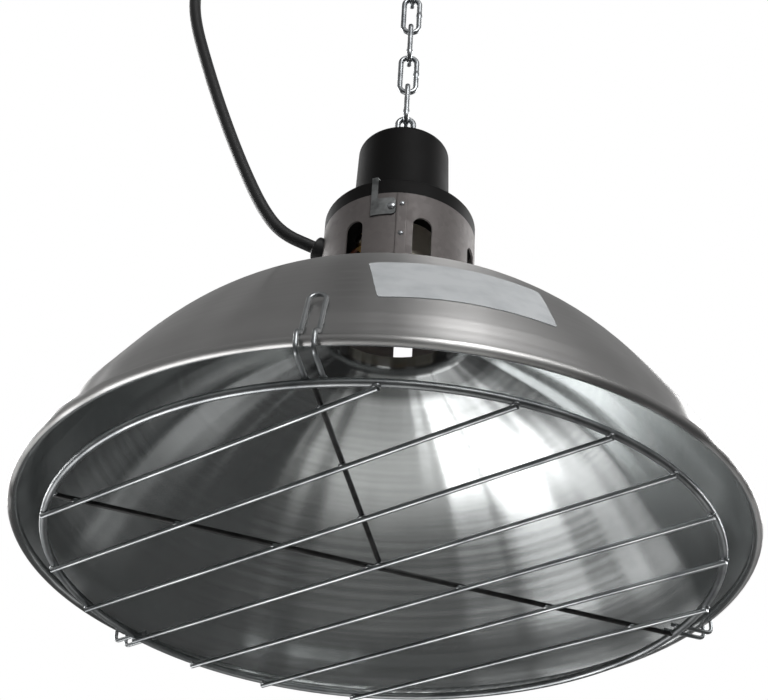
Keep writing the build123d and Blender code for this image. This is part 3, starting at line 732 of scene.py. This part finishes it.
class HEATLAMP_OT_finishes(bpy.types.Operator):
    """Make the lamp's finishes and put them on its own parts"""

    bl_idname = "heat_lamp.finishes"
    bl_label = "Finishes"

    def execute(self, context):
        colours = context.scene.heat_lamp_colours
        aluminium_spun(colours)
        steel_sheet_galvanised(colours)
        phenolic_moulded(colours)
        # Zinc plate on welded links: blue-white, with grey handling clouds
        plated_metal("steel_zinc_plated", colours.zinc, linear("#86898c"), 0.006, (0.24, 0.46), 0.0006)
        # Zinc plate on pressed strip, gone dull near the heat
        plated_metal("steel_strip_dull_zinc", colours.strap, linear("#5f6161"), 0.005, (0.42, 0.58), 0.0006)
        # Zinc plate on drawn wire: an even shine, with clouds drawn out to 2 cm
        plated_metal("steel_wire_bright_zinc", colours.wire, linear("#808385"), 0.02, (0.3, 0.46), 0.0004)
        # Painted shade: the brace and spoke, which lie in shade above the bars, get a dark drawn-wire finish
        plated_metal("steel_wire_painted_shade", colours.brace, linear("#2a2a2a"), 0.015, (0.4, 0.56), 0.0004)
        # Drawn brass: warm, with brown tarnish
        plated_metal("brass_drawn", colours.brass, linear("#7c6138"), 0.004, (0.22, 0.42), 0.0005)
        # Nickel on brass: warm white and nearly mirror bright
        plated_metal("brass_nickel_plated", colours.nickel, linear("#a8a092"), 0.005, (0.12, 0.26), 0.0005)
        # Extruded rubber sheath: matt black with a grey bloom and the fine skin of the die
        soft_compound("rubber_extruded", colours.rubber, linear("#232324"), 0.0009, (0.46, 0.66), 0.15, 1.5)
        # Moulded rubber: smoother than the sheath
        soft_compound("rubber_moulded", colours.rubber, linear("#222223"), 0.0006, (0.42, 0.6), 0.12, 1.5)
        # Moulded nylon: a waxy shine
        soft_compound("nylon_moulded", colours.nylon, linear("#34353a"), 0.0012, (0.3, 0.46), 0.08, 1.53)
        # Extruded PVC insulation: even colour with a soft shine
        insulation = {
            "pvc_brown_extruded": (colours.core_brown, linear("#6d4530")),
            "pvc_blue_extruded": (colours.core_blue, linear("#3f6cb4")),
        }
        for name, (tone, dusty) in insulation.items():
            soft_compound(name, tone, dusty, 0.0006, (0.3, 0.45), 0.08, 1.53)
        # Fired steatite under a thin glaze: warm white, smooth, with a faint speckle
        soft_compound("steatite_glazed", colours.steatite, linear("#c9bfae"), 0.0008, (0.22, 0.4), 0.1, 1.58)
        # Lacquered foil label, left blank: pale, matt, slightly rippled
        soft_compound("foil_lacquered", colours.label, linear("#aeb2b5"), 0.006, (0.32, 0.5), 0.3, 1.5)
        for finish, starts in NODE_FINISHES.items():
            for name, node in NODES.items():
                if name.startswith(tuple(starts)):
                    node.data.materials.clear()
                    node.data.materials.append(bpy.data.materials[finish])
        return {"FINISHED"}


class HEATLAMP_OT_lead(bpy.types.Operator):
    """Lay the mains lead from the neck up to its coil on the chain, and on to the plug"""

    bl_idname = "heat_lamp.lead"
    bl_label = "Mains lead"

    def execute(self, context):
        sizes = context.scene.heat_lamp_sizes
        line = smooth_line([Vector(p) for p in LEAD_ROUTE] + coil_route(), 12)
        coil_start = min(range(len(line)), key=lambda i: (line[i] - Vector(LEAD_ROUTE[-1])).length)
        free = line[:coil_start + 1]
        cuts = [0]
        for end in SPAN_ENDS:
            cuts.append(next(i for i in range(len(free)) if line_length(free[:i + 1]) >= end))
        cuts.append(len(free) - 1)
        for number, (low, high) in enumerate(zip(cuts, cuts[1:]), 1):
            part = free[low:high + 1]
            piece = tube_along(f"lead_span_{number}", part, sizes.lead_d / 2)
            dress(piece, "rubber_extruded", 60)
            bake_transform(piece)
            if number == 1:
                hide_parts("cord_tail", "mains_cord")
        coil_line = line[coil_start:]
        coil = tube_along("lead_coil", coil_line, sizes.lead_d / 2)
        dress(coil, "rubber_extruded", 60)
        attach(coil, "tied_chain")
        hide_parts("cord_coil")
        return {"FINISHED"}


class HEATLAMP_OT_cores(bpy.types.Operator):
    """Run the two insulated cores from the stripped lead to their terminals"""

    bl_idname = "heat_lamp.cores"
    bl_label = "Cores"

    def execute(self, context):
        sizes = context.scene.heat_lamp_sizes
        tones = {"core_live": "brown", "core_neutral": "blue"}
        for node, route in CORE_ROUTES.items():
            line = smooth_line([Vector(p) for p in route], 10)
            piece = tube_along(f"{node}_insulation", line, sizes.core_d / 2)
            dress(piece, f"pvc_{tones[node]}_extruded", 60)
            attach(piece, "lamp")
            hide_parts(node)
        return {"FINISHED"}


class HEATLAMP_OT_plug(bpy.types.Operator):
    """Mould the plug's grip and its ringed strain relief"""

    bl_idname = "heat_lamp.plug"
    bl_label = "Plug"

    def execute(self, context):
        axis = Matrix.Translation((PLUG_AXIS.x, PLUG_AXIS.y, 0))
        grip = self.grip(axis)
        relief = self.relief(axis)
        for piece, node in ((grip, "plug_body"), (relief, "plug_relief")):
            dress(piece, "rubber_moulded")
            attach(piece, "tied_chain")
            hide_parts(node)
        return {"FINISHED"}

    def grip(self, axis):
        """Round grip with two flats, finger grooves on its taper and a rounded nose."""
        low = PLUG_LOW.z
        grip_r = 0.0185
        taper_foot, taper_slope = 0.02, 0.47
        rings = [
            (grip_r - 0.0016, low), (grip_r - 0.0005, low + 0.0005), (grip_r, low + 0.0017),
            (grip_r, low + 0.0186), (grip_r - 0.0006, low + 0.0206),
        ]
        # Three finger grooves, each about 0.7 mm deep
        for foot in (0.0225, 0.0275, 0.0325):
            taper = grip_r - (foot - taper_foot) * taper_slope
            rings += [
                (taper - 0.0004, low + foot), (taper - 0.0014, low + foot + 0.0008),
                (taper - 0.0021, low + foot + 0.0022), (taper - 0.0018, low + foot + 0.0032),
            ]
        for radius, up in ((0.0096, 0.0382), (0.0084, 0.0402), (0.0076, 0.0416), (0.0066, 0.042)):
            rings.append((radius, low + up))
        grip = turned_piece("plug_grip", rings, 64)
        flat = PLUG_HIGH.y - PLUG_AXIS.y
        for side in (-1, 1):
            pick(grip, lambda point: True)
            bpy.ops.mesh.bisect(
                plane_co=(0, side * flat, 0), plane_no=(0, side, 0), use_fill=True, clear_outer=True
            )
        rest()
        settle(grip, axis)
        tidy(grip)
        harden(grip, "BEVEL", width=0.0005, segments=2, limit_method="ANGLE", angle_limit=math.radians(50))
        return grip

    def relief(self, axis):
        """Tapered relief round the lead, cut into rings up to 0.9 mm deep so that it bends."""
        relief_r, fall, tall = 0.0065, 0.0021, 0.026
        ring_pitch, ring_depth, least_r = 0.004, 0.0009, 0.0042
        rings = [(relief_r, RELIEF_LOW.z - 0.0005)]
        for ring in range(6):
            foot = RELIEF_LOW.z + 0.0012 + ring * ring_pitch
            crest = relief_r - fall * (ring * ring_pitch + ring_pitch / 2) / tall
            root = max(crest - ring_depth, least_r)
            rings += [
                (crest - 0.0002, foot), (crest, foot + 0.0004), (crest, foot + 0.0022),
                (crest - 0.0002, foot + 0.0026), (root, foot + 0.0029), (root, foot + 0.0037),
            ]
        rings += [(0.0046, RELIEF_HIGH.z - 0.0006), (0.0044, RELIEF_HIGH.z), (0.0036, RELIEF_HIGH.z)]
        relief = turned_piece("strain_relief", rings, 40)
        settle(relief, axis)
        return relief


class HEATLAMP_OT_label(bpy.types.Operator):
    """Stick the blank label on the front of the reflector"""

    bl_idname = "heat_lamp.label"
    bl_label = "Label"

    def execute(self, context):
        sizes = context.scene.heat_lamp_sizes
        half_w, half_h = sizes.label_w / 2, sizes.label_h / 2
        corner_r, glue = 0.002, 0.00008
        rest()
        bpy.ops.mesh.primitive_grid_add(x_subdivisions=32, y_subdivisions=18, size=1, enter_editmode=True)
        bpy.ops.transform.resize(value=(sizes.label_w, sizes.label_h, 1))
        rest()
        label = context.object
        label.name = "label"
        settle(label)
        pick(label, lambda point: abs(point.x) > half_w - 1e-6 and abs(point.y) > half_h - 1e-6)
        bpy.ops.mesh.bevel(offset=corner_r, segments=4, affect="VERTICES")
        rest()
        tilt = Matrix.Rotation(LABEL_TILT, 4, "X")
        settle(label, side_place(LABEL_TURN, LABEL_DISTANCE, RIM_Z + LABEL_RISE) @ tilt)
        harden(
            label, "SHRINKWRAP", target=NODES["reflector"], wrap_method="NEAREST_SURFACEPOINT",
            wrap_mode="OUTSIDE_SURFACE", offset=glue,
        )
        harden(label, "SOLIDIFY", thickness=sizes.label_t, offset=1.0)
        tidy(label)
        dress(label, "foil_lacquered", 40)
        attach(label, "lamp")
        return {"FINISHED"}


class HEATLAMP_OT_neck_seam(bpy.types.Operator):
    """Lap the neck sheet's two edges at the front and rivet them"""

    bl_idname = "heat_lamp.neck_seam"
    bl_label = "Neck seam"

    def execute(self, context):
        edge, lap_t = 0.0004, 0.0007
        start, end = math.radians(-3.4), math.radians(4.6)
        seam = bent_sheet(
            "neck_seam", (NECK_R, NECK_LOW.z + edge), (NECK_R, NECK_HIGH.z - edge), 5, start, end, 6
        )
        harden(seam, "SOLIDIFY", thickness=lap_t, offset=1.0)
        tidy(seam)
        harden(seam, "BEVEL", width=0.00022, segments=2, limit_method="ANGLE", angle_limit=math.radians(50))
        dress(seam, "steel_sheet_galvanised")
        # Three small rivets up the middle of the lap, seated 0.1 mm into it
        rivet_r, seat, middle = 0.0014, NECK_R + 0.0006, math.radians(0.6)
        places = [side_place(middle, seat, NECK_LOW.z + up) for up in (0.008, 0.027, 0.046)]
        rivets = joined(copies(rivet_head(rivet_r), "seam_rivet", places), "seam_rivets")
        dress(rivets, "steel_zinc_plated")
        for piece in (seam, rivets):
            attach(piece, "lamp")
        return {"FINISHED"}


def rivet_head(radius):
    """Domed rivet head on the XY plane."""
    shape = [(1, -0.1), (1, 0.12), (0.94, 0.3), (0.8, 0.46), (0.58, 0.58), (0.3, 0.65), (0.08, 0.67)]
    return turned_piece("rivet_head", [(share * radius, up * radius) for share, up in shape], 24)


class HEATLAMP_OT_strap_rivets(bpy.types.Operator):
    """Rivet the three straps to the neck"""

    bl_idname = "heat_lamp.strap_rivets"
    bl_label = "Strap rivets"

    def execute(self, context):
        sizes = context.scene.heat_lamp_sizes
        straps, first_turn, strap_t, drop = 3, -6.8, 0.0008, 0.0093
        turns = [math.radians(first_turn + 360 / straps * index) for index in range(straps)]
        places = [side_place(turn, NECK_R + strap_t, NECK_HIGH.z - drop) for turn in turns]
        for rivet in copies(rivet_head(sizes.rivet_r), "strap_rivet", places):
            dress(rivet, "steel_zinc_plated")
            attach(rivet, "lamp")
        return {"FINISHED"}


class HEATLAMP_OT_bolt_thread(bpy.types.Operator):
    """Cut the eye bolt's thread between its nut and its eye"""

    bl_idname = "heat_lamp.bolt_thread"
    bl_label = "Eye bolt thread"

    def execute(self, context):
        tooth_r, thread_r, lift = 0.00036, 0.00306, 0.0003
        pitch, turns, steps = 0.001, 4, 32
        foot = (thread_r, 0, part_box("eye_locknut")[1].z + lift)
        rest()
        bpy.ops.mesh.primitive_circle_add(
            vertices=3, radius=tooth_r, location=foot, rotation=(math.pi / 2, 0, 0)
        )
        thread = context.object
        thread.name = "bolt_thread"
        settle(thread)
        harden(
            thread, "SCREW", axis="Z", angle=TURN, screw_offset=pitch, iterations=turns,
            steps=steps, render_steps=steps,
        )
        pick(thread, lambda point: True)
        bpy.ops.mesh.fill_holes(sides=0)
        tidy(thread)
        dress(thread, "steel_zinc_plated", 20)
        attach(thread, "lamp")
        return {"FINISHED"}


class HEATLAMP_OT_shell_thread(bpy.types.Operator):
    """Roll the lampholder's screw shell with its round thread"""

    bl_idname = "heat_lamp.shell_thread"
    bl_label = "Screw shell"

    def execute(self, context):
        pitch, turns, steps = 0.00363, 7, 48
        thread_r, wave, wave_steps, wall = 0.01372, 0.00034, 8, 0.0003
        low = SHELL_LOW.z - pitch
        shell = upright_line("shell_thread", (thread_r, low), (thread_r, low + pitch), wave_steps - 1)
        for step in range(wave_steps + 1):
            height = low + pitch * step / wave_steps
            pick(shell, lambda point: abs(point.z - height) < 1e-6)
            bpy.ops.transform.translate(value=(wave * math.cos(TURN * step / wave_steps), 0, 0))
        rest()
        harden(
            shell, "SCREW", axis="Z", angle=TURN, screw_offset=pitch, iterations=turns,
            steps=steps, render_steps=steps, use_merge_vertices=True, merge_threshold=1e-6,
        )
        tidy(shell)
        for height, outwards in ((SHELL_LOW.z, -1), (SHELL_HIGH.z, 1)):
            pick(shell, lambda point: True)
            bpy.ops.mesh.bisect(plane_co=(0, 0, height), plane_no=(0, 0, outwards), clear_outer=True)
        rest()
        harden(shell, "SOLIDIFY", thickness=wall, offset=0)
        tidy(shell)
        dress(shell, "brass_drawn", 50)
        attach(shell, "lamp")
        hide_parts("screw_shell")
        return {"FINISHED"}


class HEATLAMP_OT_terminal_screws(bpy.types.Operator):
    """Turn the two slotted terminal screws"""

    bl_idname = "heat_lamp.terminal_screws"
    bl_label = "Terminal screws"

    def execute(self, context):
        head_r, head_top, head_place = 0.0026, 0.0017, 0.028
        slot_size = (0.0007, 0.006, 0.0014)
        rings = [(head_r, -0.0002), (head_r, 0.0013), (0.0024, 0.0016), (0.0019, head_top)]
        head = turned_piece("screw_head", rings, 24)
        rest()
        bpy.ops.mesh.primitive_cube_add(size=1, location=(0, 0, head_top), scale=slot_size)
        slot = context.object
        settle(slot)
        harden(head, "BOOLEAN", object=slot, operation="DIFFERENCE", solver="EXACT")
        bpy.data.objects.remove(slot)
        tidy(head)
        places = [side_place(turn, head_place, TERMINAL_Z) for turn in TERMINAL_TURNS]
        for screw in copies(head, "terminal_screw", places):
            dress(screw, "brass_nickel_plated", 30)
            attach(screw, "lamp")
        return {"FINISHED"}


def guard_place(turn, along, aside, drop):
    """Point under the rim, along and beside a line through the guard's middle with that turn."""
    return Matrix.Rotation(turn, 4, "Z") @ Vector((along, aside, RIM_Z - drop))


class HEATLAMP_OT_guard_welds(bpy.types.Operator):
    """Put a weld nugget wherever two of the guard's wires cross"""

    bl_idname = "heat_lamp.guard_welds"
    bl_label = "Guard welds"

    def execute(self, context):
        places = self.bar_crossings() + self.ring_ends()
        turned = [Matrix.Translation(point) @ Matrix.Rotation(turn, 4, "Z") for point, turn in places]
        welds = joined(copies(self.nugget(), "weld", turned), "guard_welds")
        dress(welds, "steel_wire_bright_zinc", 60)
        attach(welds, "guard")
        return {"FINISHED"}

    def bar_crossings(self):
        """Where each bar meets the ring, the brace and the spoke, each place with its turn."""
        places = []
        for index in range(-(BARS // 2), BARS // 2 + 1):
            aside = BAR_SHIFT + index * BAR_PITCH
            half = math.sqrt(GUARD_RING_R**2 - aside**2)
            points = [guard_place(BAR_TURN, along, aside, BAR_WELD_DROP) for along in (-half, half)]
            along_brace = aside / math.sin(BRACE_TURN - BAR_TURN)
            points.append(guard_place(BRACE_TURN, along_brace, 0, BAR_WELD_DROP))
            along_spoke = aside / math.sin(SPOKE_TURN - BAR_TURN)
            if along_spoke > 0:
                points.append(guard_place(SPOKE_TURN, along_spoke, 0, BAR_WELD_DROP))
            places += [(point, BAR_TURN) for point in points]
        return places

    def ring_ends(self):
        """Where the brace, the spoke and the clips' legs end at the ring, each place with its turn."""
        places = []
        for turn in (BRACE_TURN, BRACE_TURN + math.pi, SPOKE_TURN):
            places.append((guard_place(turn, GUARD_RING_R - BRACE_WELD_INSET, 0, BRACE_WELD_DROP), turn))
        for turn in CLIP_TURNS:
            for aside in (-CLIP_LEG, CLIP_LEG):
                along = math.sqrt(GUARD_RING_R**2 - aside**2)
                places.append((guard_place(turn, along, aside, CLIP_WELD_DROP), turn))
        return places

    def nugget(self):
        """Weld nugget, flat on both sides where the two welding tips squeezed the wires."""
        half_size, squeezed = (0.0021, 0.0017, 0.00125), 0.0007
        rest()
        bpy.ops.mesh.primitive_uv_sphere_add(segments=14, ring_count=8, radius=1, scale=half_size)
        nugget = bpy.context.object
        settle(nugget)
        for side in (-1, 1):
            pick(nugget, lambda point: side * point.z > squeezed)
            bpy.ops.transform.resize(value=(1.1, 1.1, 0.4), center_override=(0, 0, side * squeezed))
        rest()
        return nugget


class HEATLAMP_OT_link_welds(bpy.types.Operator):
    """Swell each chain link where its wire was butt-welded"""

    bl_idname = "heat_lamp.link_welds"
    bl_label = "Chain welds"

    def execute(self, context):
        # Two rolls of metal pushed up beside the joint, each as its radius and its distance from it
        roll = [(0.00186, 0.0006), (0.00174, 0.001), (0.00158, 0.0018), (0.00146, 0.0026)]
        joint_r = 0.0018
        rings = [(radius, -away) for radius, away in reversed(roll)] + [(joint_r, 0.0)] + roll
        collar = turned_piece("weld_collar", rings, 24)
        places = []
        for number in range(1, LINKS + 1):
            low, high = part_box(f"chain_link_{number}")
            middle = (low + high) / 2
            leg = Vector((0, LINK_LEG, 0)) if number % 2 else Vector((LINK_LEG, 0, 0))
            places.append(Matrix.Translation(middle + leg))
        for number, weld in enumerate(copies(collar, "link_weld", places), 1):
            dress(weld, "steel_zinc_plated", 60)
            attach(weld, "tied_chain" if number in TIED_LINKS else f"link_{number}")
        return {"FINISHED"}


class HEATLAMP_OT_stage(bpy.types.Operator):
    """Set the camera, the pale floor and soft studio light"""

    bl_idname = "heat_lamp.stage"
    bl_label = "Studio"

    def execute(self, context):
        colours = context.scene.heat_lamp_colours
        self.view(context)
        self.floor(colours)
        self.light(context)
        return {"FINISHED"}

    def view(self, context):
        """Camera below the lamp, looking up into it and rolled a little."""
        forward = CAMERA_AIM.normalized()
        level = forward.cross(Vector((0, 0, 1))).normalized()
        above = level.cross(forward)
        right = level * math.cos(CAMERA_ROLL) + above * math.sin(CAMERA_ROLL)
        up = above * math.cos(CAMERA_ROLL) - level * math.sin(CAMERA_ROLL)
        data = bpy.data.cameras.new("camera")
        data.sensor_fit = "HORIZONTAL"
        data.sensor_width = SENSOR_WIDTH
        data.lens = CAMERA_LENS
        camera = bpy.data.objects.new("camera", data)
        place = Matrix((right, up, -forward)).transposed().to_4x4()
        place.translation = CAMERA_PLACE
        camera.matrix_world = place
        context.scene.collection.objects.link(camera)
        context.scene.camera = camera

    def floor(self, colours):
        """Pale paper floor, well under the hanging lamp."""
        rest()
        bpy.ops.mesh.primitive_circle_add(
            vertices=96, radius=FLOOR_R, fill_type="NGON", location=(0, 0, FLOOR_Z)
        )
        floor = bpy.context.object
        floor.name = "studio_floor"
        tree, shader = new_finish("studio_paper")
        place = linked_node(tree, "ShaderNodeTexCoord")
        # Paper fibres clump at about 4 mm
        fibres = linked_node(
            tree, "ShaderNodeTexNoise", {"Vector": place.outputs["Object"], "Scale": 1 / 0.004, "Detail": 3}
        )
        relief = linked_node(
            tree, "ShaderNodeBump", {"Height": fibres.outputs["Fac"], "Strength": 0.05, "Distance": 0.0005}
        )
        shader.inputs["Base Color"].default_value = four(colours.paper)
        shader.inputs["Roughness"].default_value = 0.85
        tree.links.new(relief.outputs["Normal"], shader.inputs["Normal"])
        floor.data.materials.append(bpy.data.materials["studio_paper"])

    def light(self, context):
        """White backdrop for the eye, a dim room for the metal to mirror, and soft panels."""
        world = bpy.data.worlds.new("studio")
        world.use_nodes = True
        tree = world.node_tree
        place = linked_node(tree, "ShaderNodeTexCoord")
        height = linked_node(tree, "ShaderNodeSeparateXYZ", {"Vector": place.outputs["Generated"]})
        walls = linked_node(
            tree, "ShaderNodeMapRange",
            {
                "Value": height.outputs["Z"], "From Min": -0.2, "From Max": 0.15,
                "To Min": 0.07, "To Max": 0.3,
            },
        )
        ceiling = linked_node(
            tree, "ShaderNodeMapRange",
            {"Value": height.outputs["Z"], "From Min": 0.8, "To Min": 1.0, "To Max": 0.45},
        )
        room = linked_node(
            tree, "ShaderNodeMath",
            {0: walls.outputs["Result"], 1: ceiling.outputs["Result"]}, operation="MULTIPLY",
        )
        path = linked_node(tree, "ShaderNodeLightPath")
        seen = linked_node(
            tree, "ShaderNodeMix",
            {"Factor": path.outputs["Is Camera Ray"], "A": room.outputs["Value"], "B": 1.0},
        )
        tree.links.new(seen.outputs["Result"], tree.nodes["Background"].inputs["Strength"])
        tree.nodes["Background"].inputs["Color"].default_value = (1, 1, 1, 1)
        context.scene.world = world
        # Each panel's place, what it faces, its width, its power in watts and its spread in degrees
        panels = {
            "low_panel": ((-0.34, 0.16, -1.14), (0, 0, -0.5), 0.42, 1.1, 120),
            "left_panel": ((-0.52, 0.38, -0.93), (0, 0, -0.5), 0.28, 0.16, 120),
            "right_panel": ((0.42, 0.52, -0.9), (0, 0, -0.5), 0.4, 0.1, 120),
            "front_panel": ((0.9, -2.2, 0.9), (0, 0, -0.4), 1.8, 6, 45),
            "back_left_panel": ((-1.8, 1.4, 0.4), (0, 0, -0.35), 1.4, 5.5, 45),
            "back_right_panel": ((1.9, 1.2, 0.5), (0, 0, -0.35), 1.4, 5.5, 45),
            "floor_panel": ((0.8, -0.8, -0.35), (0, 0, FLOOR_Z), 0.5, 0.7, 50),
        }
        for name, (place, target, size, power, spread) in panels.items():
            data = bpy.data.lights.new(name, "AREA")
            data.size = size
            data.energy = power
            data.spread = math.radians(spread)
            panel = bpy.data.objects.new(name, data)
            panel.location = place
            aim = Vector(target) - Vector(place)
            panel.rotation_euler = aim.to_track_quat("-Z", "Y").to_euler()
            context.scene.collection.objects.link(panel)
        context.scene.view_settings.view_transform = "Standard"


class HEATLAMP_PT_panel(bpy.types.Panel):
    """Heat lamp's sizes, colours and steps"""

    bl_idname = "HEATLAMP_PT_panel"
    bl_label = "Heat Lamp"
    bl_space_type = "VIEW_3D"
    bl_region_type = "UI"
    bl_category = "Heat Lamp"

    def draw(self, context):
        layout = self.layout
        for group in (context.scene.heat_lamp_sizes, context.scene.heat_lamp_colours):
            box = layout.box()
            for name in group.__annotations__:
                box.prop(group, name)
        for step in STEPS:
            layout.operator(step.bl_idname)


STEPS = (
    HEATLAMP_OT_finishes,
    HEATLAMP_OT_plug,
    HEATLAMP_OT_lead,
    HEATLAMP_OT_cores,
    HEATLAMP_OT_label,
    HEATLAMP_OT_neck_seam,
    HEATLAMP_OT_strap_rivets,
    HEATLAMP_OT_bolt_thread,
    HEATLAMP_OT_shell_thread,
    HEATLAMP_OT_terminal_screws,
    HEATLAMP_OT_guard_welds,
    HEATLAMP_OT_link_welds,
    HEATLAMP_OT_stage,
)
CLASSES = (LampColours, LampSizes, *STEPS, HEATLAMP_PT_panel)


def register():
    """Register the classes and hang the sizes and colours on the scene."""
    for each in CLASSES:
        bpy.utils.register_class(each)
    bpy.types.Scene.heat_lamp_colours = PointerProperty(type=LampColours)
    bpy.types.Scene.heat_lamp_sizes = PointerProperty(type=LampSizes)


def unregister():
    """Take the sizes, colours and classes away again."""
    del bpy.types.Scene.heat_lamp_sizes
    del bpy.types.Scene.heat_lamp_colours
    for each in reversed(CLASSES):
        bpy.utils.unregister_class(each)


def main():
    """Run every step in order."""
    register()
    bpy.ops.heat_lamp.finishes()
    bpy.ops.heat_lamp.plug()
    bpy.ops.heat_lamp.lead()
    bpy.ops.heat_lamp.cores()
    bpy.ops.heat_lamp.label()
    bpy.ops.heat_lamp.neck_seam()
    bpy.ops.heat_lamp.strap_rivets()
    bpy.ops.heat_lamp.bolt_thread()
    bpy.ops.heat_lamp.shell_thread()
    bpy.ops.heat_lamp.terminal_screws()
    bpy.ops.heat_lamp.guard_welds()
    bpy.ops.heat_lamp.link_welds()
    bpy.ops.heat_lamp.stage()


if __name__ == "__main__":
    main()
